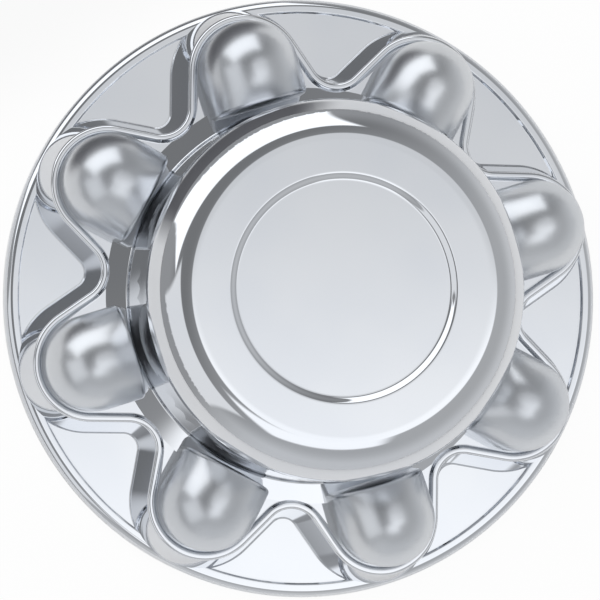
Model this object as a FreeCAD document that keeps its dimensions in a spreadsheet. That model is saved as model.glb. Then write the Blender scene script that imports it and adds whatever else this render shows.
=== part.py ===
"""Chrome-plated center cap for an eight-lug wheel: one moulded shell.

The cap lies on its back rim. The origin is the middle of the rim's seat, +Z runs along the wheel axis
to the face, and one lug axis lies on +X. The shell is the outside form less the same form drawn one
wall smaller, so every feature that shows on the front has its hollow behind it.
"""
import FreeCAD, Part

import math
import os

import Sketcher

V = FreeCAD.Vector
TOLERANCE = 1e-4

doc = FreeCAD.newDocument("CenterCap")
sheet = doc.addObject("Spreadsheet::Sheet", "Sizes")

# The driving sizes, in millimetres
SIZES = {
    "lugs": 8,
    "lug_circle_radius": 82.55,
    "wall": 2.5,
    "rim_radius": 108.0,
    "rim_height": 9.5,
    "rim_round": 3.0,
    "lip_width": 5.0,
    "lip_step": 0.7,
    "panel_level": 8.0,
    "floor_level": 25.5,
    "lobe_radius": 20.5,
    "valley_centre": 85.4,
    "valley_radius": 9.5,
    "wall_run": 3.9,
    "ridge_width": 2.6,
    "ridge_rise": 1.6,
    "ridge_bevel": 0.8,
    "drum_radius": 66.5,
    "drum_draft": 1.7,
    "shoulder_round": 15.0,
    "face_level": 85.0,
    "disc_radius": 36.2,
    "disc_bevel": 2.7,
    "disc_depth": 1.2,
    "pod_radius": 16.8,
    "pod_level": 53.5,
    "pod_drop": 3.5,
    "pod_gap": 2.5,
    "pod_end_bevel": 1.2,
    "overrun": 2.0,
}

# Where a round edge is made of two flats, the flats meet on the round, this share of its radius in from the corner
MEET = 1 - math.sqrt(0.5)

for row, (alias, value) in enumerate(SIZES.items(), start=1):
    sheet.set(f"A{row}", alias)
    sheet.set(f"B{row}", str(value))
    sheet.setAlias(f"B{row}", alias)
doc.recompute()


def size(alias):
    """Value of one cell of the sheet."""
    return float(sheet.get(alias))


def origin_feature(body, role):
    """Origin plane or axis of a body, by its role."""
    return next(item for item in body.Origin.OriginFeatures if item.Role == role)


def new_sketch(body, name, plane, offset=None, across=None):
    """Sketch on one of the body's origin planes, moved along its normal or across it by an expression."""
    sketch = body.newObject("Sketcher::SketchObject", name)
    sketch.AttachmentSupport = [(origin_feature(body, plane), "")]
    sketch.MapMode = "FlatFace"
    if offset:
        sketch.setExpression("AttachmentOffset.Base.z", offset)
    if across:
        sketch.setExpression("AttachmentOffset.Base.x", across)
    doc.recompute()
    return sketch


def bind(sketch, name, expression, *constraint):
    """Named driving constraint that takes its value from the sheet."""
    index = sketch.addConstraint(Sketcher.Constraint(*constraint))
    sketch.renameConstraint(index, name)
    sketch.setExpression("Constraints." + name, expression)


def polygon_profile(sketch, corners):
    """Closed outline of straight sides.

    Each corner is (name, x value, y value, x expression, y expression). A corner on the upright axis
    has no x expression.
    """
    count = len(corners)
    points = [V(corner[1], corner[2], 0) for corner in corners]
    for index in range(count):
        sketch.addGeometry(Part.LineSegment(points[index], points[(index + 1) % count]), False)
    for index in range(count):
        sketch.addConstraint(Sketcher.Constraint("Coincident", index, 2, (index + 1) % count, 1))
    for index, (name, _, height, x_expression, y_expression) in enumerate(corners):
        if x_expression is None:
            sketch.addConstraint(Sketcher.Constraint("PointOnObject", index, 1, -2))
        else:
            bind(sketch, name + "_x", x_expression, "DistanceX", -1, 1, index, 1, points[index].x)
        bind(sketch, name + "_y", y_expression, "DistanceY", -1, 1, index, 1, height)


def revolve(body, sketch, name, half=False):
    """Turn of a sketch about its upright axis: a full turn, or half a turn shared to both sides."""
    feature = body.newObject("PartDesign::Revolution", name)
    feature.Profile = sketch
    feature.ReferenceAxis = (sketch, ["V_Axis"])
    feature.Midplane = half
    feature.Angle = 180.0 if half else 360.0
    doc.recompute()
    return feature


def repeat(body, features, name):
    """The same features at every lug."""
    pattern = body.newObject("PartDesign::PolarPattern", name)
    pattern.Originals = features
    pattern.Axis = (origin_feature(body, "Z_Axis"), [""])
    pattern.Angle = 360.0
    pattern.setExpression("Occurrences", "Sizes.lugs")
    body.Tip = pattern
    doc.recompute()
    return pattern


def value_of(expression):
    """Number that an expression in the sheet's aliases stands for, to place geometry before solving."""
    total = 0.0
    for term in expression.replace("-", "+-").split("+"):
        term = term.strip()
        if term:
            sign = -1.0 if term.startswith("-") else 1.0
            total += sign * size(term.lstrip("-").strip().replace("Sizes.", ""))
    return total


class LobeOutline:
    """One sector of the lobed outline: round lobe about the lug axis, straight flanks, round valleys."""

    def __init__(self, lobe, valley):
        self.lobe = lobe
        self.valley = valley

    def corners(self):
        """End of the lobe arc, end of the flank on the valley arc, and bottom of the valley."""
        half = math.pi / size("lugs")
        lobe_radius, valley_radius = value_of(self.lobe), value_of(self.valley)
        lobe_centre = V(size("lug_circle_radius"), 0, 0)
        valley_centre = V(math.cos(half), math.sin(half), 0) * size("valley_centre")
        between = valley_centre - lobe_centre
        turn = math.atan2(between.y, between.x)
        turn -= math.acos((lobe_radius + valley_radius) / between.Length)
        normal = V(math.cos(turn), math.sin(turn), 0)
        bottom = valley_centre - V(math.cos(half), math.sin(half), 0) * valley_radius
        return lobe_centre + normal * lobe_radius, valley_centre - normal * valley_radius, bottom, turn

    def draw(self, sketch, prefix):
        """Add the lobe, the flanks and the valley arcs, tied to the sheet; returns the lower and upper valley ends."""
        half = math.pi / size("lugs")
        lobe_end, valley_start, bottom, turn = self.corners()
        lobe_radius, valley_radius = value_of(self.lobe), value_of(self.valley)
        lobe_centre = V(size("lug_circle_radius"), 0, 0)
        upper_centre = V(math.cos(half), math.sin(half), 0) * size("valley_centre")
        lower_centre = V(upper_centre.x, -upper_centre.y, 0)
        axis = V(0, 0, 1)
        arc = lambda centre, radius, start, end: Part.ArcOfCircle(Part.Circle(centre, axis, radius), start, end)
        flip = lambda point: V(point.x, -point.y, 0)
        lobe = sketch.addGeometry(arc(lobe_centre, lobe_radius, -turn, turn), False)
        upper_flank = sketch.addGeometry(Part.LineSegment(lobe_end, valley_start), False)
        lower_flank = sketch.addGeometry(Part.LineSegment(flip(lobe_end), flip(valley_start)), False)
        upper = sketch.addGeometry(arc(upper_centre, valley_radius, half + math.pi, turn + math.pi), False)
        lower = sketch.addGeometry(arc(lower_centre, valley_radius, math.pi - turn, math.pi - half), False)
        upper_ray = sketch.addGeometry(Part.LineSegment(V(0, 0, 0), upper_centre), True)
        lower_ray = sketch.addGeometry(Part.LineSegment(V(0, 0, 0), lower_centre), True)
        add = lambda *constraint: sketch.addConstraint(Sketcher.Constraint(*constraint))
        add("PointOnObject", lobe, 3, -1)
        bind(sketch, prefix + "_lug", "Sizes.lug_circle_radius", "DistanceX", -1, 1, lobe, 3, lobe_centre.x)
        bind(sketch, prefix + "_lobe", self.lobe, "Radius", lobe, lobe_radius)
        for ray, valley, side in ((upper_ray, upper, "_upper"), (lower_ray, lower, "_lower")):
            add("Coincident", ray, 1, -1, 1)
            add("Coincident", ray, 2, valley, 3)
            bind(sketch, prefix + side + "_reach", "Sizes.valley_centre", "Distance", ray, size("valley_centre"))
            bind(sketch, prefix + side + "_radius", self.valley, "Radius", valley, valley_radius)
        bind(sketch, prefix + "_upper_turn", "180 deg / Sizes.lugs", "Angle", -1, 1, upper_ray, 1, half)
        bind(sketch, prefix + "_lower_turn", "180 deg / Sizes.lugs", "Angle", lower_ray, 1, -1, 1, half)
        add("Tangent", lobe, 2, upper_flank, 1)
        add("Tangent", lobe, 1, lower_flank, 1)
        add("Tangent", upper_flank, 2, upper, 2)
        add("Tangent", lower_flank, 2, lower, 1)
        add("PointOnObject", upper, 1, upper_ray)
        add("PointOnObject", lower, 2, lower_ray)
        return (lower, 2), (upper, 1)


def join(sketch, first, second):
    """Straight side between two ends that are already placed."""
    start = sketch.getPoint(*first)
    end = sketch.getPoint(*second)
    side = sketch.addGeometry(Part.LineSegment(start, end), False)
    sketch.addConstraint(Sketcher.Constraint("Coincident", side, 1, *first))
    sketch.addConstraint(Sketcher.Constraint("Coincident", side, 2, *second))


def lobe_sector(body, name, outline, level):
    """Sketch of one lobed sector, closed at the wheel axis, at a level."""
    sketch = new_sketch(body, name, "XY_Plane", level)
    lower, upper = outline.draw(sketch, "outline")
    join(sketch, (-1, 1), lower)
    join(sketch, upper, (-1, 1))
    doc.recompute()
    return sketch


def lobed_mound(body, foot, top, foot_level, top_level):
    """Sloped lobed mound: one sector between two outlines, repeated round the axis."""
    foot_sketch = lobe_sector(body, body.Name + "LobeFoot", foot, foot_level)
    top_sketch = lobe_sector(body, body.Name + "LobeTop", top, top_level)
    sector = body.newObject("PartDesign::AdditiveLoft", body.Name + "LobeSector")
    sector.Profile = foot_sketch
    sector.Sections = [top_sketch]
    sector.Ruled = True
    doc.recompute()
    return repeat(body, [sector], body.Name + "Lobes")


def arch_profile(sketch, rounding, foot_level, level, whole):
    """Pod section: upright side and round crown about the upright axis, the whole arch or its right half."""
    crown, radius, bottom = value_of(level), value_of(rounding), value_of(foot_level)
    centre = V(0, crown - radius, 0)
    across = V(radius, 0, 0)
    last = math.pi if whole else math.pi / 2
    add = lambda *constraint: sketch.addConstraint(Sketcher.Constraint(*constraint))
    arc = sketch.addGeometry(Part.ArcOfCircle(Part.Circle(centre, V(0, 0, 1), radius), 0, last), False)
    side = sketch.addGeometry(Part.LineSegment(V(radius, bottom, 0), centre + across), False)
    add("PointOnObject", arc, 3, -2)
    add("Tangent", side, 2, arc, 1)
    add("Vertical", side)
    bind(sketch, "crown_radius", rounding, "Radius", arc, radius)
    bind(sketch, "crown_level", level + " - (" + rounding + ")", "DistanceY", -1, 1, arc, 3, centre.y)
    bind(sketch, "foot_level", foot_level, "DistanceY", -1, 1, side, 1, bottom)
    if whole:
        other = sketch.addGeometry(Part.LineSegment(V(-radius, bottom, 0), centre - across), False)
        add("Tangent", other, 2, arc, 2)
        add("Symmetric", side, 1, other, 1, -2)
        join(sketch, (other, 1), (side, 1))
    else:
        spine = sketch.addGeometry(Part.LineSegment(V(0, bottom, 0), V(0, crown, 0)), False)
        add("PointOnObject", spine, 1, -2)
        add("PointOnObject", spine, 2, -2)
        add("Coincident", spine, 2, arc, 2)
        join(sketch, (spine, 1), (side, 1))
        add("Horizontal", spine + 1)


def pods(body, section_profile, rounding, foot_level, level, end):
    """Lug pods: a round end turned about the lug axis, and a barrel that falls to a flat end wall."""
    turned = new_sketch(body, body.Name + "PodTurned", "XZ_Plane", across="Sizes.lug_circle_radius")
    section_profile(turned, rounding, foot_level, level, whole=False)
    doc.recompute()
    round_end = revolve(body, turned, body.Name + "PodEnd", half=True)
    root = new_sketch(body, body.Name + "PodRoot", "YZ_Plane", "Sizes.lug_circle_radius")
    section_profile(root, rounding, foot_level, level, whole=True)
    section = new_sketch(body, body.Name + "PodSection", "YZ_Plane", end)
    section_profile(section, rounding, foot_level, level + " - Sizes.pod_drop", whole=True)
    doc.recompute()
    barrel = body.newObject("PartDesign::AdditiveLoft", body.Name + "PodBarrel")
    barrel.Profile = root
    barrel.Sections = [section]
    barrel.Ruled = True
    doc.recompute()
    return repeat(body, [round_end, barrel], body.Name + "Pods")


def faceted_arch(sketch, rounding, foot_level, level, whole):
    """Pod section drawn inside the arch with four flats for its crown, the whole arch or its right half."""
    crown, radius, bottom = value_of(level), value_of(rounding), value_of(foot_level)
    haunch_level = level + " - (" + rounding + ")"
    meet_level = level + " - " + str(MEET) + " * (" + rounding + ")"
    meet_reach = str(1 - MEET) + " * (" + rounding + ")"
    right = [
        ("foot", radius, bottom, rounding, foot_level),
        ("haunch", radius, crown - radius, rounding, haunch_level),
        ("meet", (1 - MEET) * radius, crown - MEET * radius, meet_reach, meet_level),
    ]
    left = [(name + "_left", -x, y, "-(" + across + ")", up) for name, x, y, across, up in reversed(right)]
    top = ("crown", 0, crown, None, level)
    spine = ("spine", 0, bottom, None, foot_level)
    polygon_profile(sketch, right + [top] + (left if whole else [spine]))


def edges_where(shape, test):
    """Names of the edges whose middle and ends all pass a test."""
    names = []
    for index, edge in enumerate(shape.Edges, start=1):
        first, last = edge.ParameterRange
        points = [edge.valueAt(first + (last - first) * share) for share in (0.0, 0.5, 1.0)]
        if all(test(point) for point in points):
            names.append(f"Edge{index}")
    return names


def round_edges(body, base, name, names, radius):
    """Fillet of named edges of a feature."""
    fillet = body.newObject("PartDesign::Fillet", name)
    fillet.Base = (base, names)
    fillet.setExpression("Radius", radius)
    body.Tip = fillet
    doc.recompute()
    return fillet


def bevel_edges(body, base, name, names, width):
    """Bevel of named edges of a feature."""
    chamfer = body.newObject("PartDesign::Chamfer", name)
    chamfer.Base = (base, names)
    chamfer.setExpression("Size", width)
    body.Tip = chamfer
    doc.recompute()
    return chamfer


def along_lug(point):
    """Distance of a point from the wheel axis, measured along the nearest lug's direction."""
    step = 2 * math.pi / size("lugs")
    turn = round(math.atan2(point.y, point.x) / step) * step
    return point.x * math.cos(turn) + point.y * math.sin(turn)


# The outside form
outside = doc.addObject("PartDesign::Body", "Outside")

rim_sketch = new_sketch(outside, "RimProfile", "XZ_Plane")
polygon_profile(rim_sketch, [
    ("middle", 0, 0, None, "0 mm"),
    ("seat", size("rim_radius"), 0, "Sizes.rim_radius", "0 mm"),
    ("side", size("rim_radius"), size("rim_height") - size("rim_round"),
     "Sizes.rim_radius", "Sizes.rim_height - Sizes.rim_round"),
    ("edge", size("rim_radius") - MEET * size("rim_round"), size("rim_height") - MEET * size("rim_round"),
     f"Sizes.rim_radius - {MEET} * Sizes.rim_round", f"Sizes.rim_height - {MEET} * Sizes.rim_round"),
    ("crest", size("rim_radius") - size("rim_round"), size("rim_height"),
     "Sizes.rim_radius - Sizes.rim_round", "Sizes.rim_height"),
    ("lip", size("rim_radius") - size("lip_width") + size("lip_step"), size("rim_height"),
     "Sizes.rim_radius - Sizes.lip_width + Sizes.lip_step", "Sizes.rim_height"),
    ("panel", size("rim_radius") - size("lip_width"), size("panel_level"),
     "Sizes.rim_radius - Sizes.lip_width", "Sizes.panel_level"),
    ("hub", 0, size("panel_level"), None, "Sizes.panel_level"),
])
revolve(outside, rim_sketch, "Rim")

lobed_mound(outside,
            LobeOutline("Sizes.lobe_radius + Sizes.wall_run", "Sizes.valley_radius - Sizes.wall_run"),
            LobeOutline("Sizes.lobe_radius", "Sizes.valley_radius"),
            "Sizes.panel_level", "Sizes.floor_level")

# The ridge along the top of the lobed wall
ridge_sketch = new_sketch(outside, "RidgeOutline", "XY_Plane", "Sizes.floor_level")
outer_ends = LobeOutline("Sizes.lobe_radius", "Sizes.valley_radius").draw(ridge_sketch, "outer")
inner_ends = LobeOutline("Sizes.lobe_radius - Sizes.ridge_width",
                         "Sizes.valley_radius + Sizes.ridge_width").draw(ridge_sketch, "inner")
join(ridge_sketch, outer_ends[0], inner_ends[0])
join(ridge_sketch, outer_ends[1], inner_ends[1])
doc.recompute()
ridge_sector = outside.newObject("PartDesign::Pad", "RidgeSector")
ridge_sector.Profile = ridge_sketch
ridge_sector.setExpression("Length", "Sizes.ridge_rise")
doc.recompute()
ridge = repeat(outside, [ridge_sector], "Ridge")
crest = size("floor_level") + size("ridge_rise")
ridge_edges = edges_where(ridge.Shape, lambda p: abs(p.z - crest) < TOLERANCE)
bevel_edges(outside, ridge, "RidgeBevel", ridge_edges, "Sizes.ridge_bevel")

# The hub drum, with the recessed disc in its face
drum_sketch = new_sketch(outside, "DrumProfile", "XZ_Plane")
polygon_profile(drum_sketch, [
    ("middle", 0, size("panel_level"), None, "Sizes.panel_level"),
    ("foot", size("drum_radius"), size("panel_level"), "Sizes.drum_radius", "Sizes.panel_level"),
    ("brow", size("drum_radius") - size("drum_draft"), size("face_level"),
     "Sizes.drum_radius - Sizes.drum_draft", "Sizes.face_level"),
    ("bevel", size("disc_radius") + size("disc_bevel"), size("face_level"),
     "Sizes.disc_radius + Sizes.disc_bevel", "Sizes.face_level"),
    ("disc", size("disc_radius"), size("face_level") - size("disc_depth"),
     "Sizes.disc_radius", "Sizes.face_level - Sizes.disc_depth"),
    ("centre", 0, size("face_level") - size("disc_depth"), None, "Sizes.face_level - Sizes.disc_depth"),
])
drum = revolve(outside, drum_sketch, "Drum")
drum_top = size("drum_radius") - size("drum_draft")
brow_edges = edges_where(drum.Shape, lambda p: abs(p.z - size("face_level")) < TOLERANCE
                         and abs(math.hypot(p.x, p.y) - drum_top) < TOLERANCE)
round_edges(outside, drum, "Shoulder", brow_edges, "Sizes.shoulder_round")

# The lug pods, with the edge of each flat end wall bevelled
pod_ring = pods(outside, arch_profile, "Sizes.pod_radius", "Sizes.panel_level", "Sizes.pod_level",
                "Sizes.drum_radius + Sizes.pod_gap")
pod_end = size("drum_radius") + size("pod_gap")
end_edges = edges_where(pod_ring.Shape, lambda p: abs(along_lug(p) - pod_end) < TOLERANCE
                        and p.z > size("floor_level") + TOLERANCE)
bevel_edges(outside, pod_ring, "PodEndBevel", end_edges, "Sizes.pod_end_bevel")

# The hollow behind: the same forms, one wall smaller
hollow = doc.addObject("PartDesign::Body", "Hollow")
back_sketch = new_sketch(hollow, "BackProfile", "XZ_Plane")
polygon_profile(back_sketch, [
    ("middle", 0, -size("overrun"), None, "-Sizes.overrun"),
    ("mouth", size("rim_radius") - size("wall"), -size("overrun"), "Sizes.rim_radius - Sizes.wall", "-Sizes.overrun"),
    ("corner", size("rim_radius") - size("wall"), size("panel_level") - size("wall"),
     "Sizes.rim_radius - Sizes.wall", "Sizes.panel_level - Sizes.wall"),
    ("roof", 0, size("panel_level") - size("wall"), None, "Sizes.panel_level - Sizes.wall"),
])
revolve(hollow, back_sketch, "Back")
lobed_mound(hollow,
            LobeOutline("Sizes.lobe_radius + Sizes.wall_run - Sizes.wall",
                        "Sizes.valley_radius - Sizes.wall_run + Sizes.wall"),
            LobeOutline("Sizes.lobe_radius - Sizes.wall", "Sizes.valley_radius + Sizes.wall"),
            "Sizes.panel_level - Sizes.wall", "Sizes.floor_level - Sizes.wall")
cavity_sketch = new_sketch(hollow, "CavityProfile", "XZ_Plane")
bore = drum_top - size("wall")
roof = size("face_level") - size("disc_depth") - size("wall")
inner_round = size("shoulder_round") - size("wall")
BORE = "Sizes.drum_radius - Sizes.drum_draft - Sizes.wall"
ROOF = "Sizes.face_level - Sizes.disc_depth - Sizes.wall"
INNER_ROUND = "(Sizes.shoulder_round - Sizes.wall)"
polygon_profile(cavity_sketch, [
    ("middle", 0, 0, None, "0 mm"),
    ("foot", bore, 0, BORE, "0 mm"),
    ("side", bore, roof - inner_round, BORE, ROOF + " - " + INNER_ROUND),
    ("brow", bore - MEET * inner_round, roof - MEET * inner_round,
     f"{BORE} - {MEET} * {INNER_ROUND}", f"{ROOF} - {MEET} * {INNER_ROUND}"),
    ("top", bore - inner_round, roof, BORE + " - " + INNER_ROUND, ROOF),
    ("roof", 0, roof, None, ROOF),
])
revolve(hollow, cavity_sketch, "Cavity")
pods(hollow, faceted_arch, "Sizes.pod_radius - Sizes.wall", "Sizes.panel_level - Sizes.wall",
     "Sizes.pod_level - Sizes.wall", "Sizes.drum_radius + Sizes.pod_gap + Sizes.wall")

cap = doc.addObject("Part::Cut", "CenterCap")
cap.Base = outside
cap.Tool = hollow
cap.Label = "center_cap"
doc.recompute()

# Nothing is written unless every object came out sound
for item in doc.Objects:
    if "Invalid" in item.State or "Error" in item.State:
        raise RuntimeError(f"{item.Name} failed: {item.State}")
if cap.Shape.isNull() or not cap.Shape.isValid() or len(cap.Shape.Solids) != 1:
    raise RuntimeError("the cap is not one sound solid")

os.makedirs("parts", exist_ok=True)
cap.Shape.exportStep(os.path.join("parts", cap.Label + ".step"))
print(cap.Label, "volume", round(cap.Shape.Volume), "box", cap.Shape.BoundBox)
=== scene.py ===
"""Studio scene of the chrome wheel center cap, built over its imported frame."""
import logging
import math
from dataclasses import dataclass, field
from enum import Enum
from typing import Callable, Iterable, Sequence, Union

import bpy
from mathutils import Matrix, Vector


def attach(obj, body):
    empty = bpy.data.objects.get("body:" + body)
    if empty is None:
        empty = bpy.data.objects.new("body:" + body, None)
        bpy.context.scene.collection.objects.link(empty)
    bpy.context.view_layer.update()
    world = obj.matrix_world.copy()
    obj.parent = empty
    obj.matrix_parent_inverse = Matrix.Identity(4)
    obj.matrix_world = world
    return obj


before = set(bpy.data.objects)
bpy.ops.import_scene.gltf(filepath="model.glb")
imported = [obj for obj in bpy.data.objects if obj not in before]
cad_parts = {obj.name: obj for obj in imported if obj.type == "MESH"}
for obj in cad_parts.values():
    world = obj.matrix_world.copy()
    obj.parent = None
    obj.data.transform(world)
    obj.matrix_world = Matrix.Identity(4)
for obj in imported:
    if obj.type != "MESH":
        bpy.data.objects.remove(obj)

LOG = logging.getLogger("center_cap")
Number = Union[float, "Value"]
Point = tuple[float, float]
Colour = tuple[float, float, float, float]

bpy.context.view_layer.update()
MM = 0.001
WELD = 0.004 * MM
WHEEL_AXIS = (0.0, 0.0, 1.0)
ORIGIN = Vector((0.0, 0.0, 0.0))
WHITE: Colour = (1.0, 1.0, 1.0, 1.0)


class Ray(Enum):
    """Kinds of ray that the floor and the surroundings tell apart."""

    CAMERA = "Is Camera Ray"
    GLOSSY = "Is Glossy Ray"
    TRANSMISSION = "Is Transmission Ray"


@dataclass(frozen=True)
class CapSizes:
    """Sizes of the moulding in metres, as the solid has them, with its plating and its floor's climb."""

    plating: float = 0.10 * MM
    lift: float = 0.03 * MM
    lugs: int = 8
    lug_circle: float = 82.55 * MM
    rim_radius: float = 108.0 * MM
    rim_height: float = 9.5 * MM
    rim_round: float = 3.0 * MM
    lip_width: float = 5.0 * MM
    lip_step: float = 0.7 * MM
    panel_level: float = 8.0 * MM
    floor_level: float = 25.5 * MM
    lobe_radius: float = 20.5 * MM
    valley_centre: float = 85.4 * MM
    valley_radius: float = 9.5 * MM
    wall_run: float = 3.9 * MM
    ridge_width: float = 2.6 * MM
    ridge_rise: float = 1.6 * MM
    ridge_round: float = 1.1 * MM
    drum_radius: float = 66.5 * MM
    drum_draft: float = 1.7 * MM
    shoulder_round: float = 15.0 * MM
    face_level: float = 85.0 * MM
    disc_radius: float = 36.2 * MM
    disc_bevel: float = 2.7 * MM
    disc_depth: float = 1.2 * MM
    pod_radius: float = 16.8 * MM
    pod_level: float = 53.5 * MM
    pod_drop: float = 3.5 * MM
    pod_gap: float = 2.5 * MM
    pod_end_round: float = 1.6 * MM
    floor_climb: float = 0.20
    floor_overlap: float = 0.6 * MM

    @property
    def skin(self) -> float:
        """How far the plating's outside stands off the solid."""
        return self.plating + self.lift

    @property
    def half_sector(self) -> float:
        """Half the angle from one lug to the next."""
        return math.pi / self.lugs

    @property
    def floor_edge(self) -> float:
        """Radius at which the floor between two pods meets the ridge."""
        return self.valley_centre - self.valley_radius - self.ridge_width + self.floor_overlap

    def floor_at(self, radius: float) -> float:
        """Height of the floor, which climbs a little from the ridge to the drum.

        Args:
            radius: Distance from the wheel axis.

        Returns:
            The height of the plated floor there.
        """
        return self.floor_level + 0.5 * self.lift + self.floor_climb * max(self.floor_edge - radius, 0.0)


class Shaper:
    """Edit-mode work on one mesh object, selected by place, as it is done by hand."""

    def __init__(self, name: str, start: Vector) -> None:
        """Begin a piece as a single point.

        Args:
            name: Name of the new object.
            start: Where the first point stands.
        """
        bpy.ops.object.select_all(action="DESELECT")
        bpy.ops.mesh.primitive_circle_add(vertices=3, radius=1.0 * MM, location=ORIGIN)
        self.object: bpy.types.Object = bpy.context.active_object
        self.object.name = name
        self.object.data.name = name
        bpy.ops.object.mode_set(mode="EDIT")
        bpy.ops.mesh.select_all(action="SELECT")
        bpy.ops.mesh.merge(type="CENTER")
        bpy.ops.transform.translate(value=start)

    def draw(self, points: Iterable[Vector]) -> None:
        """Extrude the selected end through points, one edge after another.

        Args:
            points: Places of the following corners, the first being where the end stands now.
        """
        path = list(points)
        for here, there in zip(path, path[1:]):
            bpy.ops.mesh.extrude_region_move(TRANSFORM_OT_translate={"value": there - here})

    def select_edges(self, test: Callable[[Vector], bool]) -> None:
        """Select the edges between the vertices that pass a test.

        Args:
            test: Tells whether a vertex is wanted, from its place.
        """
        bpy.ops.mesh.select_mode(type="VERT")
        bpy.ops.mesh.select_all(action="DESELECT")
        bpy.ops.object.mode_set(mode="OBJECT")
        for vertex in self.object.data.vertices:
            vertex.select = test(vertex.co)
        bpy.ops.object.mode_set(mode="EDIT")
        bpy.ops.mesh.select_mode(type="EDGE")

    def select_all(self) -> None:
        """Select the whole mesh."""
        bpy.ops.mesh.select_mode(type="VERT")
        bpy.ops.mesh.select_all(action="SELECT")

    def turn(self, steps: int, angle: float, centre: Vector) -> None:
        """Spin what is selected about an upright axis.

        Args:
            steps: Number of segments.
            angle: Angle of the turn in radians, counted the usual way round; the tool counts it backwards.
            centre: Point on the axis.
        """
        bpy.ops.mesh.spin(steps=steps, angle=-angle, center=centre, axis=WHEEL_AXIS, use_auto_merge=False)

    def repeat(self, count: int) -> None:
        """Copy the whole mesh round the wheel axis.

        Args:
            count: Number of copies in all.
        """
        self.select_all()
        share = 2.0 * math.pi * (count - 1) / count
        bpy.ops.mesh.spin(steps=count - 1, dupli=True, angle=share, center=ORIGIN, axis=WHEEL_AXIS)

    def finish(self, thickness: float, smooth_deg: float = 40.0) -> bpy.types.Object:
        """Weld the mesh, turn its faces up, give it its thickness and shade it.

        Args:
            thickness: Thickness added behind the faces.
            smooth_deg: Edges sharper than this stay sharp.

        Returns:
            The finished object.
        """
        self.select_all()
        bpy.ops.mesh.remove_doubles(threshold=WELD)
        bpy.ops.mesh.dissolve_degenerate(threshold=0.5 * WELD)
        bpy.ops.mesh.select_all(action="SELECT")
        bpy.ops.mesh.normals_make_consistent(inside=False)
        bpy.ops.object.mode_set(mode="OBJECT")
        if not self.looks_up():
            bpy.ops.object.mode_set(mode="EDIT")
            bpy.ops.mesh.select_all(action="SELECT")
            bpy.ops.mesh.flip_normals()
            bpy.ops.object.mode_set(mode="OBJECT")
        wall: bpy.types.SolidifyModifier = self.object.modifiers.new("Plating", "SOLIDIFY")
        wall.thickness = thickness
        wall.offset = -1.0
        bpy.ops.object.modifier_apply(modifier=wall.name)
        bpy.ops.object.shade_smooth_by_angle(angle=math.radians(smooth_deg))
        return self.object

    def looks_up(self) -> bool:
        """Tell whether most of the faces, by area, look up."""
        return sum(face.area * face.normal.z for face in self.object.data.polygons) >= 0.0


def arc(centre: Point, radius: float, start_deg: float, end_deg: float, steps: int) -> list[Point]:
    """Points along an arc in an upright plane.

    Args:
        centre: Middle of the arc, across and up.
        radius: Its radius.
        start_deg: First angle, counted from the across direction.
        end_deg: Last angle.
        steps: Number of segments.

    Returns:
        The points from the first angle to the last.
    """
    angles = [math.radians(start_deg + (end_deg - start_deg) * step / steps) for step in range(steps + 1)]
    return [(centre[0] + radius * math.cos(a), centre[1] + radius * math.sin(a)) for a in angles]


def steady(points: Sequence[Point], hold: float = 0.35 * MM) -> list[Point]:
    """Profile with a corner added close to each end of its long straight runs, so that they shade flat.

    Args:
        points: The profile.
        hold: Distance of the added corners from the ends.

    Returns:
        The profile with the added corners.
    """
    held = [points[0]]
    long_run = 2.5 * hold
    for (x0, z0), (x1, z1) in zip(points, points[1:]):
        length = math.hypot(x1 - x0, z1 - z0)
        if length > long_run:
            share = hold / length
            across = (x1 - x0) * share
            up = (z1 - z0) * share
            held += [(x0 + across, z0 + up), (x1 - across, z1 - up)]
        held.append((x1, z1))
    return held


def upright(points: Iterable[Point]) -> list[Vector]:
    """Profile points stood up in the plane of the first lug."""
    return [Vector((across, 0.0, height)) for across, height in points]


@dataclass
class TurnedPart:
    """A round part of the cap, made by turning a profile about the wheel axis."""

    sizes: CapSizes
    name: str
    steps: int = 288

    def profile(self) -> list[Point]:
        """Outline from the outside in; each part gives its own."""
        raise NotImplementedError

    def build(self) -> bpy.types.Object:
        """Turn the profile and finish it as a plated skin.

        Returns:
            The finished skin.
        """
        path = upright(steady(self.profile()))
        shaper = Shaper(self.name, path[0])
        shaper.draw(path)
        shaper.select_all()
        shaper.turn(self.steps, 2.0 * math.pi, ORIGIN)
        return shaper.finish(self.sizes.plating)


@dataclass
class RimPanel(TurnedPart):
    """Rim with its rounded lip and the outer edge of the flat panels, which are the solid's own."""

    name: str = "rim_panel"
    seat_gap: float = 0.3 * MM
    lip_blend: float = 0.5 * MM
    lip_slope_deg: float = 65.0
    panel_edge: float = 0.6 * MM
    round_steps: int = 14
    blend_steps: int = 6

    def profile(self) -> list[Point]:
        """Outline from the seat, over the lip and down to the panels.

        Returns:
            The outline's points, across and up.
        """
        s = self.sizes
        outer = s.rim_radius + s.skin
        top = s.rim_height + s.skin
        panel = s.panel_level + 0.5 * s.lift
        lip_top = s.rim_radius - s.lip_width + s.lip_step
        lip_foot = lip_top - s.lip_step
        slope = self.lip_slope_deg
        blend = self.lip_blend
        outline = [(outer, self.seat_gap)]
        outline += arc((outer - s.rim_round, top - s.rim_round), s.rim_round, 0.0, 90.0, self.round_steps)
        outline += arc((lip_top, top - blend), blend, 90.0, 90.0 + slope, self.blend_steps)
        outline += arc((lip_foot, panel + blend), blend, slope - 90.0, -90.0, self.blend_steps)
        outline += [(lip_foot - self.panel_edge, panel)]
        return outline


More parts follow.
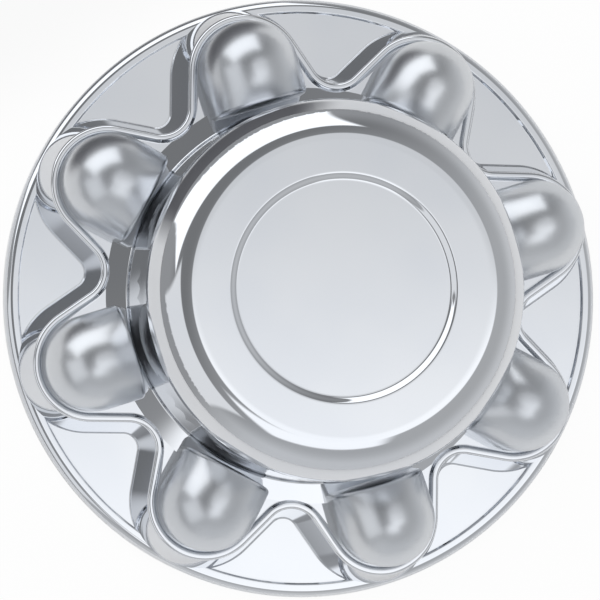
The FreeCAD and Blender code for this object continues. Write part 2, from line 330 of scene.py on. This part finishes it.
@dataclass
class HubDrum(TurnedPart):
    """Drum over the wheel hub: floor flange, wall, round shoulder and face with its recessed disc."""

    name: str = "hub_drum"
    crease_round: float = 1.2 * MM
    flange_reach: float = 2.0 * MM
    pole_radius: float = 0.02 * MM
    crease_steps: int = 6
    shoulder_steps: int = 40
    bevel_steps: int = 14

    def profile(self) -> list[Point]:
        """Outline from the floor, up the wall and in across the face.

        Returns:
            The outline's points, across and up.
        """
        s = self.sizes
        foot = s.drum_radius + s.skin
        top = foot - s.drum_draft
        level = s.face_level + s.skin
        rise = s.face_level - s.panel_level
        lean = math.degrees(math.atan2(s.drum_draft, rise))
        at_floor = foot - s.drum_draft * (s.floor_level - s.panel_level) / rise
        flange = s.drum_radius + s.pod_gap + self.flange_reach
        crease = at_floor + self.crease_round
        crease_centre = (crease, s.floor_at(crease) + self.crease_round)
        shoulder_centre = (top - s.shoulder_round, level - s.shoulder_round)
        outline = [(flange, s.floor_at(flange))]
        outline += arc(crease_centre, self.crease_round, -90.0, -180.0, self.crease_steps)
        outline += arc(shoulder_centre, s.shoulder_round, lean, 90.0, self.shoulder_steps)
        outline += self.bevel(level)
        outline += [(self.pole_radius, level - s.disc_depth)]
        return outline

    def bevel(self, level: float) -> list[Point]:
        """Eased slope from the face down to the recessed disc.

        Args:
            level: Height of the face.

        Returns:
            The slope's points, from the face inwards.
        """
        s = self.sizes
        ring = s.disc_radius + s.disc_bevel
        points: list[Point] = []
        for step in range(self.bevel_steps + 1):
            share = step / self.bevel_steps
            sunk = share * share * (3.0 - 2.0 * share)
            points.append((ring - s.disc_bevel * share, level - s.disc_depth * sunk))
        return points


@dataclass
class LobedWall:
    """Sloped wall with its rounded ridge, sweeping out round each lug and in between them."""

    sizes: CapSizes
    name: str = "lobed_wall"
    foot_round: float = 0.5 * MM
    foot_edge: float = 0.1 * MM
    ridge_foot_round: float = 0.4 * MM
    floor_reach: float = 5.2 * MM
    foot_steps: int = 8
    ridge_out_steps: int = 9
    ridge_in_steps: int = 8
    ridge_foot_steps: int = 4
    lobe_steps: int = 30
    valley_steps: int = 18

    def profile(self) -> list[Point]:
        """Section of the wall at the first lug: foot, slope, ridge, and the floor inside it.

        Returns:
            The section's points, across and up, from the outside in.
        """
        s = self.sizes
        panel = s.panel_level + s.lift
        floor = s.floor_level + s.lift
        crest = s.floor_level + s.ridge_rise + s.skin
        lean = math.degrees(math.atan2(s.wall_run, s.floor_level - s.panel_level))
        out = s.lug_circle + (s.lobe_radius + s.skin)
        inner = out - s.ridge_width - 2.0 * s.skin
        heel = out + s.wall_run + self.foot_round * math.tan(math.radians(45.0 - lean / 2.0))
        foot = self.foot_round
        bend = s.ridge_round
        crook = self.ridge_foot_round
        outline = [(heel + self.foot_edge, panel)]
        outline += arc((heel, panel + foot), foot, -90.0, -180.0 + lean, self.foot_steps)
        outline += arc((out - bend, crest - bend), bend, lean, 90.0, self.ridge_out_steps)
        outline += arc((inner + bend, crest - bend), bend, 90.0, 180.0, self.ridge_in_steps)
        outline += arc((inner - crook, floor + crook), crook, 0.0, -90.0, self.ridge_foot_steps)
        outline += [(out - self.floor_reach, floor)]
        return outline

    def build(self) -> bpy.types.Object:
        """Sweep the section along half a sector, mirror it and repeat it at every lug.

        Returns:
            The finished skin.
        """
        s = self.sizes
        path = upright(steady(self.profile()))
        half = s.half_sector
        lug = Vector((s.lug_circle, 0.0, 0.0))
        valley = Vector((math.cos(half), math.sin(half), 0.0)) * s.valley_centre
        between = valley - lug
        opening = math.acos((s.lobe_radius + s.valley_radius) / between.length)
        swing = math.atan2(between.y, between.x) - opening
        normal = Vector((math.cos(swing), math.sin(swing), 0.0))
        flank = (valley - normal * s.valley_radius) - (lug + normal * s.lobe_radius)
        shaper = Shaper(self.name, path[0])
        shaper.draw(path)
        shaper.select_all()
        # Round the lug, along the flank that touches both arcs, then round the valley.
        shaper.turn(self.lobe_steps, swing, lug)
        bpy.ops.mesh.extrude_region_move(TRANSFORM_OT_translate={"value": flank})
        shaper.turn(self.valley_steps, half - swing, valley)
        bpy.ops.object.mode_set(mode="OBJECT")
        mirror: bpy.types.MirrorModifier = shaper.object.modifiers.new("Sector", "MIRROR")
        mirror.use_axis = (False, True, False)
        mirror.merge_threshold = WELD
        bpy.ops.object.modifier_apply(modifier=mirror.name)
        bpy.ops.object.mode_set(mode="EDIT")
        shaper.repeat(s.lugs)
        return shaper.finish(s.plating)


@dataclass
class ValleyFloor:
    """Floor between each two pods, from the ridge up to the drum."""

    sizes: CapSizes
    name: str = "valley_floor"
    half_angle_deg: float = 10.1
    sunk_in_drum: float = 1.2 * MM
    lift_share: float = 0.3
    steps: int = 24

    def build(self) -> bpy.types.Object:
        """Sweep the floor's slope across one valley and repeat it at every other.

        Returns:
            The finished skin.
        """
        s = self.sizes
        half = math.radians(self.half_angle_deg)
        inner = s.drum_radius - self.sunk_in_drum
        middle = 0.5 * (s.floor_edge + inner)
        lift = self.lift_share * s.lift
        slope = [(radius, s.floor_at(radius) + lift) for radius in (s.floor_edge, middle, inner)]
        start = Matrix.Rotation(s.half_sector - half, 4, "Z")
        path = [start @ place for place in upright(slope)]
        shaper = Shaper(self.name, path[0])
        shaper.draw(path)
        shaper.select_all()
        shaper.turn(self.steps, 2.0 * half, ORIGIN)
        shaper.repeat(s.lugs)
        return shaper.finish(s.plating)


@dataclass
class LugPods:
    """Bullet-shaped covers over the lug nuts, each with a flat end wall towards the drum."""

    sizes: CapSizes
    name: str = "lug_pod"
    arch_steps: int = 26
    round_steps: int = 56
    barrel_steps: int = 8
    end_steps: int = 5

    def profile(self) -> list[Point]:
        """Half section of a pod: upright side from the floor, then the round crown.

        Returns:
            The section's points, across and up.
        """
        s = self.sizes
        radius = s.pod_radius + s.skin
        crown = s.pod_level + s.skin
        arch = arc((0.0, crown - radius), radius, 0.0, 90.0, self.arch_steps)
        return [(radius, s.floor_level)] + arch

    def height_at(self, share: float) -> float:
        """Height of the crown over the floor along the barrel.

        Args:
            share: 0 at the lug axis, 1 at the end wall.

        Returns:
            The height; the crown falls ever more steeply towards the drum.
        """
        s = self.sizes
        return s.pod_level - s.floor_level - s.pod_drop * share * share

    def build(self) -> list[bpy.types.Object]:
        """Model one pod, then copy it to every lug with a mesh of its own.

        Returns:
            The pods in order round the wheel axis.
        """
        first = self.model()
        pods = [first]
        for index in range(1, self.sizes.lugs):
            copy = first.copy()
            copy.data = first.data.copy()
            copy.name = f"{self.name}_{index + 1}"
            copy.data.name = copy.name
            bpy.context.collection.objects.link(copy)
            copy.data.transform(Matrix.Rotation(2.0 * self.sizes.half_sector * index, 4, "Z"))
            pods.append(copy)
        return pods

    def model(self) -> bpy.types.Object:
        """Turn the round end about the lug axis, run the barrel in, close its end and round the edge.

        Returns:
            The pod on the first lug.
        """
        s = self.sizes
        lug = Vector((s.lug_circle, 0.0, 0.0))
        end = s.drum_radius + s.pod_gap - s.skin
        path = [lug + Vector((0.0, across, height)) for across, height in self.profile()]
        shaper = Shaper(f"{self.name}_1", path[0])
        shaper.draw(path)
        shaper.select_all()
        shaper.turn(self.round_steps, -math.pi, lug)
        shaper.select_all()
        bpy.ops.mesh.remove_doubles(threshold=WELD)
        close = 0.5 * WELD
        shaper.select_edges(lambda place: abs(place.x - s.lug_circle) < close)
        # The barrel runs in step by step, and each step sinks its crown a little.
        step = Vector(((end - s.lug_circle) / self.barrel_steps, 0.0, 0.0))
        for index in range(self.barrel_steps):
            here = index / self.barrel_steps
            there = (index + 1) / self.barrel_steps
            sink = self.height_at(there) / self.height_at(here)
            bpy.ops.mesh.extrude_region_move(TRANSFORM_OT_translate={"value": step})
            bpy.ops.transform.resize(value=(1.0, 1.0, sink), center_override=(0.0, 0.0, s.floor_level))
        bpy.ops.mesh.edge_face_add()
        shaper.select_edges(lambda place: abs(place.x - end) < close and place.z > s.floor_level - close)
        bpy.ops.mesh.bevel(
            offset=s.pod_end_round, segments=self.end_steps, affect="EDGES", clamp_overlap=True)
        return shaper.finish(s.plating)


class Value:
    """A shader socket that takes part in arithmetic and adds the Math nodes it needs."""

    def __init__(self, tree: "Tree", socket: bpy.types.NodeSocket) -> None:
        """Wrap a socket of a node tree."""
        self.tree = tree
        self.socket = socket

    def math(self, operation: str, *operands: Number) -> "Value":
        """Math node on this value and others."""
        sockets = dict(enumerate((self, *operands)))
        return self.tree.node("ShaderNodeMath", {"operation": operation}, sockets)

    def __add__(self, other: Number) -> "Value":
        """Sum."""
        return self.math("ADD", other)

    __radd__ = __add__

    def __sub__(self, other: Number) -> "Value":
        """Difference."""
        return self.math("SUBTRACT", other)

    def __rsub__(self, other: Number) -> "Value":
        """Difference the other way round."""
        return self.tree.node("ShaderNodeMath", {"operation": "SUBTRACT"}, {0: other, 1: self})

    def __mul__(self, other: Number) -> "Value":
        """Product."""
        return self.math("MULTIPLY", other)

    __rmul__ = __mul__

    def __abs__(self) -> "Value":
        """Size without sign."""
        return self.math("ABSOLUTE")

    def most(self, other: Number) -> "Value":
        """Larger of two values."""
        return self.math("MAXIMUM", other)

    def between(self, low: float, high: float) -> "Value":
        """Smooth step: 0 below low, 1 above high; reversed where low is the greater.

        Args:
            low: Value at which the result is 0.
            high: Value at which the result is 1.

        Returns:
            The eased share.
        """
        settings = {"interpolation_type": "SMOOTHSTEP"}
        sockets = {0: self, 1: low, 2: high, 3: 0.0, 4: 1.0}
        if low > high:
            sockets = {0: self, 1: high, 2: low, 3: 1.0, 4: 0.0}
        return self.tree.node("ShaderNodeMapRange", settings, sockets)


class Tree:
    """One material's or the world's nodes, all made by the same method."""

    def __init__(self, nodes_of: Union[bpy.types.Material, bpy.types.World]) -> None:
        """Empty a node tree.

        Args:
            nodes_of: The material or the world whose nodes they are.
        """
        nodes_of.use_nodes = True
        self.tree = nodes_of.node_tree
        self.tree.nodes.clear()

    def node(self, kind: str, settings: dict, sockets: dict, output: Union[int, str] = 0) -> Value:
        """Add a node.

        Args:
            kind: Type of the node.
            settings: Its properties, set first.
            sockets: Values or links of its inputs, by index or name.
            output: Output that is wanted.

        Returns:
            The wrapped output, or an empty value for a node that has none.
        """
        made = self.tree.nodes.new(kind)
        for key, setting in settings.items():
            setattr(made, key, setting)
        for key, given in sockets.items():
            if isinstance(given, Value):
                self.tree.links.new(given.socket, made.inputs[key])
            else:
                made.inputs[key].default_value = given
        return Value(self, made.outputs[output]) if len(made.outputs) else Value(self, None)

    def place(self) -> Value:
        """Object coordinates."""
        return self.node("ShaderNodeTexCoord", {}, {}, "Object")

    def ray(self, kind: Ray) -> Value:
        """1 for rays of a kind, 0 for others."""
        return self.node("ShaderNodeLightPath", {}, {}, kind.value)

    def dot(self, place: Value, aim: Sequence[float]) -> Value:
        """Dot product of a vector and a fixed direction."""
        sockets = {0: place, 1: tuple(aim)}
        return self.node("ShaderNodeVectorMath", {"operation": "DOT_PRODUCT"}, sockets, "Value")

    def outward(self) -> Value:
        """Direction from the origin to the point."""
        return self.node("ShaderNodeVectorMath", {"operation": "NORMALIZE"}, {0: self.place()}, "Vector")

    def grey(self, level: Value, warm: float = 1.0, cold: float = 1.0) -> Value:
        """Grey of a level, with its red and its blue scaled."""
        return self.node("ShaderNodeCombineColor", {}, {0: level * warm, 1: level, 2: level * cold})

    def noise(self, place: Value, scale: float, detail: float) -> Value:
        """Noise pattern."""
        return self.node("ShaderNodeTexNoise", {}, {"Vector": place, "Scale": scale, "Detail": detail})

    def mix(self, share: Number, first: Union[Value, Colour], second: Union[Value, Colour]) -> Value:
        """Blend of two colours: sockets 6 and 7 of the node, and its third output."""
        return self.node("ShaderNodeMix", {"data_type": "RGBA"}, {0: share, 6: first, 7: second}, 2)


@dataclass(frozen=True)
class ChromeFinish:
    """Bright chrome plating on moulded plastic."""

    name: str = "bright_chrome"
    clean: Colour = (0.80, 0.815, 0.84, 1.0)
    cool: Colour = (0.765, 0.785, 0.82, 1.0)
    polish: float = 0.04
    haze: float = 0.04
    tint_spread: Point = (0.35, 0.65)
    haze_spread: Point = (0.45, 0.8)
    patch_scale: float = 22.0
    patch_detail: float = 2.0
    ripple_scale: float = 38.0
    ripple_detail: float = 1.0
    ripple: float = 0.02 * MM
    ripple_strength: float = 0.2

    def material(self) -> bpy.types.Material:
        """Node material: slow colour and haze patches, and the faint ripple of a moulding.

        Returns:
            The new material.
        """
        made = bpy.data.materials.new(self.name)
        tree = Tree(made)
        place = tree.place()
        patches = tree.noise(place, self.patch_scale, self.patch_detail)
        colour = tree.mix(patches.between(*self.tint_spread), self.clean, self.cool)
        rough = self.polish + self.haze * patches.between(*self.haze_spread)
        ripple = tree.noise(place, self.ripple_scale, self.ripple_detail)
        bump = tree.node("ShaderNodeBump", {}, {
            "Strength": self.ripple_strength, "Distance": self.ripple, "Height": ripple}, "Normal")
        shader = tree.node("ShaderNodeBsdfPrincipled", {}, {
            "Base Color": colour, "Roughness": rough, "Metallic": 1.0, "Normal": bump})
        tree.node("ShaderNodeOutputMaterial", {}, {"Surface": shader})
        return made


@dataclass(frozen=True)
class Softbox:
    """A lit or dark area of the light tent, as a patch round a direction."""

    aim: tuple[float, float, float]
    across: tuple[float, float, float]
    half_width: float
    half_height: float
    soft: float
    level: float
    front: Point = (0.0, 0.1)


def direction(azimuth_deg: float, zenith_deg: float) -> tuple[float, float, float]:
    """Unit vector.

    Args:
        azimuth_deg: Angle about +Z, counted from +X.
        zenith_deg: Angle from straight up.

    Returns:
        The vector.
    """
    azimuth = math.radians(azimuth_deg)
    zenith = math.radians(zenith_deg)
    return (math.sin(zenith) * math.cos(azimuth), math.sin(zenith) * math.sin(azimuth), math.cos(zenith))


@dataclass(frozen=True)
class View:
    """The photograph's camera, from the fit of the cap's circles and ridge."""

    tilt_deg: float = 10.2
    tilt_toward_deg: float = 13.0
    part_turn_deg: float = 3.9
    distance: float = 1.0
    pixels_per_metre: float = 2745.0
    frame_pixels: float = 600.0
    offset: tuple[float, float] = (0.0003, 0.0007)
    sensor: float = 36.0
    far: float = 20.0

    def axes(self) -> Matrix:
        """Turn from the part's axes to the picture's: right, up and towards the viewer.

        Returns:
            The turn as a 3 by 3 matrix.
        """
        spin = math.radians(self.part_turn_deg)
        up = Vector(direction(self.tilt_toward_deg, self.tilt_deg))
        along = Vector(direction(self.tilt_toward_deg, self.tilt_deg + 90.0))
        side = up.cross(along)
        first = along * math.cos(spin) + side * math.sin(spin)
        second = side * math.cos(spin) - along * math.sin(spin)
        return Matrix((first, second, up)).transposed()

    def camera(self) -> bpy.types.Object:
        """Make the camera and set it as the scene's.

        Returns:
            The camera.
        """
        lens = bpy.data.cameras.new("view")
        lens.sensor_width = self.sensor
        lens.lens = self.pixels_per_metre * self.distance / self.frame_pixels * self.sensor
        lens.clip_end = self.far
        made = bpy.data.objects.new("view", lens)
        bpy.context.collection.objects.link(made)
        back = self.axes().transposed()
        stand = back @ Vector((-self.offset[0], -self.offset[1], self.distance))
        made.matrix_world = Matrix.Translation(stand) @ back.to_4x4()
        bpy.context.scene.camera = made
        return made


@dataclass(frozen=True)
class PaperFinish:
    """White floor paper, with a painted shade patch of dark grey on it outside the picture, which darkens
    the floor that the chrome mirrors on that side.
    """

    name: str = "white_paper"
    pale: Colour = (0.90, 0.90, 0.90, 1.0)
    paler: Colour = (0.93, 0.93, 0.93, 1.0)
    # Painted shade: dark grey paper colour off to one side, so that the chrome mirrors a dark floor there.
    painted_shade_grey: Colour = (0.16, 0.16, 0.17, 1.0)
    painted_shade_spread: Point = (0.74, 0.90)
    painted_shade_start: Point = (0.10, 0.14)
    fibre_scale: float = 60.0
    fibre_detail: float = 3.0
    matt: float = 0.6
    seen_white: float = 0.94

    def material(self, painted_shade_side: Sequence[float]) -> bpy.types.Material:
        """Node material that the camera sees as white, with the cap's shadow on it.

        Args:
            painted_shade_side: Direction in which the painted dark grey shade patch lies.

        Returns:
            The new material.
        """
        made = bpy.data.materials.new(self.name)
        tree = Tree(made)
        fibre = tree.noise(tree.place(), self.fibre_scale, self.fibre_detail)
        paper = tree.mix(fibre, self.pale, self.paler)
        # Painted shade: the paper turns dark grey off to one side, beyond the picture, to darken what the
        # chrome mirrors.
        behind = tree.dot(tree.outward(), painted_shade_side).between(*self.painted_shade_spread)
        far = tree.dot(tree.place(), painted_shade_side).between(*self.painted_shade_start)
        colour = tree.mix(behind * far, paper, self.painted_shade_grey)
        matt = tree.node("ShaderNodeBsdfDiffuse", {}, {"Color": colour, "Roughness": self.matt})
        lit = tree.node("ShaderNodeEmission", {}, {"Color": WHITE, "Strength": 1.0})
        seen = self.seen_white * tree.ray(Ray.CAMERA)
        shader = tree.node("ShaderNodeMixShader", {}, {0: seen, 1: matt, 2: lit})
        tree.node("ShaderNodeOutputMaterial", {}, {"Surface": shader})
        return made


@dataclass(frozen=True)
class TentLevels:
    """Brightness of the light tent's cloth, and where it changes."""

    roof_top: float = 0.73
    roof_gain: float = 0.45
    roof_fade: Point = (0.15, -0.12)
    roof_edge: Point = (0.9367, 0.9537)
    roof_shift_deg: float = 3.5
    gap: float = 0.21
    gap_gain: float = 0.25
    low: float = 0.34
    low_gain: float = 0.30
    low_fade: Point = (0.25, 0.78)
    lit_side_deg: float = -40.0
    lit_fade: Point = (-0.35, 0.45)


@dataclass
class Studio:
    """White floor, light tent, lamp and world."""

    view: View
    paper: PaperFinish = PaperFinish()
    levels: TentLevels = TentLevels()
    floor_size: float = 6.0
    floor_drop: float = 0.05 * MM
    # Picture angle towards which the floor's painted shade lies.
    painted_shade_side_deg: float = 122.0
    tent_radius: float = 2.4
    tent_foot: float = 0.02
    tent_warm: float = 0.985
    tent_cold: float = 1.02
    lamp_size: float = 2.2
    lamp_energy: float = 24.0
    lamp_place: tuple[float, float, float] = (-0.4, 0.5, 2.0)
    fill: float = 0.46
    boxes: list[Softbox] = field(default_factory=list)

    def build(self) -> None:
        """Set up everything round the cap."""
        self.floor()
        self.tent()
        self.lamp()
        self.world()
        bpy.context.scene.view_settings.view_transform = "Standard"

    def picture_direction(self, picture_deg: float, zenith_deg: float) -> tuple[float, float, float]:
        """Direction at an angle of the picture, counted from its right, and an angle from straight up."""
        turn = self.view.tilt_toward_deg + self.view.part_turn_deg
        return direction(picture_deg - turn, zenith_deg)

    def mirrored(self, picture_deg: float, off_deg: float) -> tuple[float, float, float]:
        """Direction in the light tent, counted from what the flat face mirrors to the camera.

        Args:
            picture_deg: Which way it lies in the picture, counted from its right.
            off_deg: Angle from the direction that the face mirrors.

        Returns:
            A unit vector.
        """
        axis = Vector(self.picture_direction(self.view.tilt_toward_deg, self.view.tilt_deg))
        level = Vector(self.picture_direction(picture_deg, 90.0))
        across = (level - axis * level.dot(axis)).normalized()
        off = math.radians(off_deg)
        return tuple(axis * math.cos(off) + across * math.sin(off))

    def floor(self) -> None:
        """White floor under the rim, with a painted shade patch on one side of it."""
        bpy.ops.object.select_all(action="DESELECT")
        bpy.ops.mesh.primitive_plane_add(size=self.floor_size, location=ORIGIN)
        made = bpy.context.active_object
        made.name = "floor"
        bpy.ops.object.mode_set(mode="EDIT")
        bpy.ops.mesh.select_all(action="SELECT")
        bpy.ops.mesh.subdivide(number_cuts=3)
        bpy.ops.transform.translate(value=(0.0, 0.0, -self.floor_drop))
        bpy.ops.object.mode_set(mode="OBJECT")
        # Way towards the floor's painted shade patch.
        painted_shade_side = self.picture_direction(self.painted_shade_side_deg, 90.0)
        made.data.materials.append(self.paper.material(painted_shade_side))

    def tent(self) -> None:
        """Light tent round the cap, seen only in the chrome."""
        bpy.ops.object.select_all(action="DESELECT")
        bpy.ops.mesh.primitive_uv_sphere_add(segments=64, ring_count=32, radius=self.tent_radius)
        made = bpy.context.active_object
        made.name = "light_tent"
        bpy.ops.object.mode_set(mode="EDIT")
        bpy.ops.mesh.select_all(action="SELECT")
        bpy.ops.mesh.bisect(plane_co=(0.0, 0.0, self.tent_foot), plane_no=WHEEL_AXIS, clear_inner=True)
        bpy.ops.object.mode_set(mode="OBJECT")
        made.visible_camera = False
        made.visible_diffuse = False
        made.visible_shadow = False
        cloth = bpy.data.materials.new("tent_cloth")
        tree = Tree(cloth)
        glow = tree.grey(self.tent_level(tree, tree.outward()), self.tent_warm, self.tent_cold)
        lit = tree.node("ShaderNodeEmission", {}, {"Color": glow, "Strength": 1.0})
        tree.node("ShaderNodeOutputMaterial", {}, {"Surface": lit})
        made.data.materials.append(cloth)

    def tent_level(self, tree: Tree, place: Value) -> Value:
        """Brightness over the tent: pale roof, darker sides, and the softboxes.

        Args:
            tree: Nodes of the tent's material.
            place: Direction of the point.

        Returns:
            The emitted level.
        """
        cloth = self.levels
        height = tree.dot(place, self.mirrored(0.0, 0.0))
        upward = tree.dot(place, self.picture_direction(90.0, 90.0))
        lit_way = tree.dot(place, self.picture_direction(cloth.lit_side_deg, 90.0))
        lit_side = lit_way.between(*cloth.lit_fade)
        roof = cloth.roof_top + cloth.roof_gain * upward.between(*cloth.roof_fade)
        # From the floor up: pale sides, a darker gap, and the roof that the flat face mirrors.
        gap = cloth.gap + cloth.gap_gain * lit_side
        low = cloth.low + cloth.low_gain * lit_side
        level = low + (gap - low) * height.between(*cloth.low_fade)
        over = tree.dot(place, self.mirrored(0.0, cloth.roof_shift_deg))
        level = level + (roof - level) * over.between(*cloth.roof_edge)
        for box in self.boxes:
            level = level + self.box_mask(tree, place, box) * (box.level - level)
        return level

    def box_mask(self, tree: Tree, place: Value, box: Softbox) -> Value:
        """Where a softbox stands in the tent.

        Args:
            tree: Nodes of the tent's material.
            place: Direction of the point.
            box: The softbox.

        Returns:
            1 inside it, 0 outside, eased at its edges.
        """
        along = Vector(box.aim).cross(Vector(box.across))
        wide = abs(tree.dot(place, box.across)).between(box.half_width, box.half_width - box.soft)
        tall = abs(tree.dot(place, along)).between(box.half_height, box.half_height - box.soft)
        ahead = tree.dot(place, box.aim).between(*box.front)
        return wide * tall * ahead

    def lamp(self) -> None:
        """Large soft lamp overhead for the floor's light."""
        data = bpy.data.lights.new("overhead", "AREA")
        data.shape = "DISK"
        data.size = self.lamp_size
        data.energy = self.lamp_energy
        made = bpy.data.objects.new("overhead", data)
        bpy.context.collection.objects.link(made)
        made.location = self.lamp_place
        made.rotation_euler = (ORIGIN - made.location).to_track_quat("-Z", "Y").to_euler()
        made.visible_camera = False
        made.visible_glossy = False

    def world(self) -> None:
        """White surroundings for what the camera and the chrome see, and an even fill for the rest."""
        world = bpy.context.scene.world or bpy.data.worlds.new("studio")
        bpy.context.scene.world = world
        tree = Tree(world)
        seen = tree.ray(Ray.CAMERA).most(tree.ray(Ray.GLOSSY)).most(tree.ray(Ray.TRANSMISSION))
        glow = tree.grey(self.fill + (1.0 - self.fill) * seen)
        shader = tree.node("ShaderNodeBackground", {}, {"Color": glow, "Strength": 1.0})
        tree.node("ShaderNodeOutputWorld", {}, {"Surface": shader})


@dataclass
class CenterCap:
    """The whole cap: the solid moulding and the plated skin over its front."""

    sizes: CapSizes
    finish: ChromeFinish
    pod_finish: ChromeFinish

    def build(self) -> list[bpy.types.Object]:
        """Make the skins and dress them and the solid.

        Returns:
            The new pieces.
        """
        chrome = self.finish.material()
        makers = (RimPanel, HubDrum, LobedWall, ValleyFloor)
        body = [maker(self.sizes).build() for maker in makers]
        pods = LugPods(self.sizes).build()
        for piece in body:
            self.dress(piece, chrome)
        soft_chrome = self.pod_finish.material()
        for pod in pods:
            self.dress(pod, soft_chrome)
        self.dress_solid(chrome)
        return body + pods

    def dress(self, piece: bpy.types.Object, plating: bpy.types.Material) -> None:
        """Plate a piece and tie it to the cap.

        Args:
            piece: The new piece.
            plating: Its material.
        """
        piece.data.materials.clear()
        piece.data.materials.append(plating)
        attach(piece, "root")
        LOG.info("%s: %d faces", piece.name, len(piece.data.polygons))

    def dress_solid(self, chrome: bpy.types.Material) -> None:
        """Give the solid behind the skin the same plating.

        Args:
            chrome: The plating.
        """
        node = bpy.data.objects["center_cap"]
        for slot in node.material_slots:
            slot.material = chrome


def main() -> None:
    """Build the cap, the studio and the camera."""
    logging.basicConfig(level=logging.INFO, format="%(name)s: %(message)s")
    pod_finish = ChromeFinish(
        name="soft_chrome",
        clean=(0.74, 0.76, 0.785, 1.0),
        cool=(0.70, 0.725, 0.76, 1.0),
        polish=0.29,
        haze=0.05,
    )
    CenterCap(CapSizes(), ChromeFinish(), pod_finish).build()
    view = View()
    view.camera()
    studio = Studio(view)
    card_below = Softbox(
        aim=studio.mirrored(280.0, 24.0),
        across=studio.picture_direction(10.0, 90.0),
        half_width=0.26,
        half_height=0.20,
        soft=0.07,
        level=1.20,
    )
    card_left = Softbox(
        aim=studio.mirrored(203.0, 61.0),
        across=studio.picture_direction(113.0, 90.0),
        half_width=0.40,
        half_height=0.37,
        soft=0.05,
        level=0.85,
    )
    key = Softbox(
        aim=studio.mirrored(125.0, 61.0),
        across=studio.mirrored(28.1, 77.8),
        half_width=0.58,
        half_height=0.37,
        soft=0.04,
        level=1.35,
    )
    studio.boxes = [card_below, card_left, key]
    studio.build()


if __name__ == "__main__":
    main()
